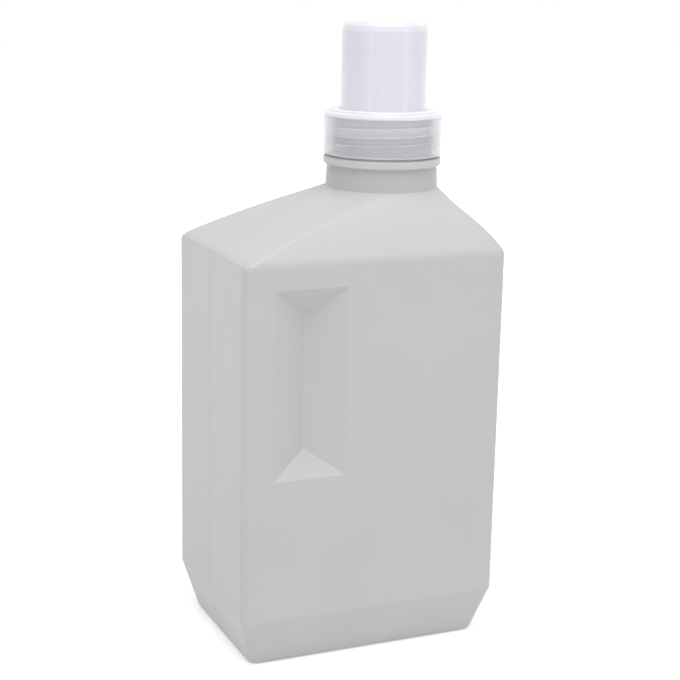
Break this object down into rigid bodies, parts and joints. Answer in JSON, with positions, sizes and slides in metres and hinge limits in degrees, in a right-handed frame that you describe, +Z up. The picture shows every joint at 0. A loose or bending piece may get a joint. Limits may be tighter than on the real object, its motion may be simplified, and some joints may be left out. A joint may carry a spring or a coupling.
{
  "type": "laundry detergent dispenser",
  "caption": "Faceted refillable laundry detergent bottle with off-centre screw neck, finger grip recesses, drain-back pouring spout and a translucent screw-on measuring cap.",
  "frame": {"origin": "centre of the base, on the plane that the bottle stands on", "axes": "+Z up along the neck and the height, X along the long faces with the neck towards +X and the grip recesses towards -X, Y through the depth"},
  "size_m": [0.107, 0.076, 0.2421],
  "materials": {
    "bottle": "satin",
    "pour_spout": "gloss",
    "sealing_ring": "matte",
    "cap": "gloss"
  },
  "bodies": {
    "vessel": {"bottle": "bottle", "pour_spout": "pour_spout"},
    "seal": {"sealing_ring": "sealing_ring"},
    "closure": {"cap": "cap"}
  },
  "joints": [
    {"name": "cap_rise", "type": "slide", "parent": "vessel", "child": "seal", "axis": [0, 0, 1], "range_m": [0, 0.00746]},
    {"name": "cap_turn", "type": "hinge", "parent": "seal", "child": "closure", "pos_m": [0.01705, 0, 0.2], "axis": [0, 0, 1], "range_deg": [0, 838]}
  ],
  "couplings": [
    {"joint": "cap_rise", "follows": "cap_turn", "m_per_rad": 0.0005093}
  ]
}
